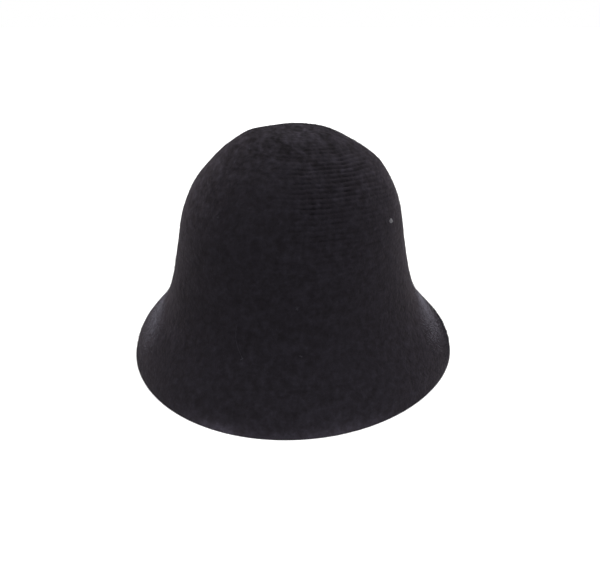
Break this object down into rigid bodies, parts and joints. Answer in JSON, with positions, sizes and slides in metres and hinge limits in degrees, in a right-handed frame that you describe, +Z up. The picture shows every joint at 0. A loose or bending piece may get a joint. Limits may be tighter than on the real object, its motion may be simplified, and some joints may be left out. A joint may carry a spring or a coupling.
{
  "type": "bucket hat",
  "caption": "Bell-shaped bucket hat knitted in one piece: a rounded crown flows without a seam into a soft brim that turns down to a flat rim, with the hollow for the head open below.",
  "frame": {"origin": "middle of the rim's outline, on the surface that the hat rests on", "axes": "+Z up through the crown, the front of the hat towards -Y, +X to the right of someone looking at the front"},
  "size_m": [0.2592, 0.2628, 0.1765],
  "materials": {
    "knit": "fuzzy ribbed knit, near-black, matt with a soft sheen at grazing angles"
  },
  "bodies": {
    "root": {"hat_body": "knit"}
  },
  "joints": []
}
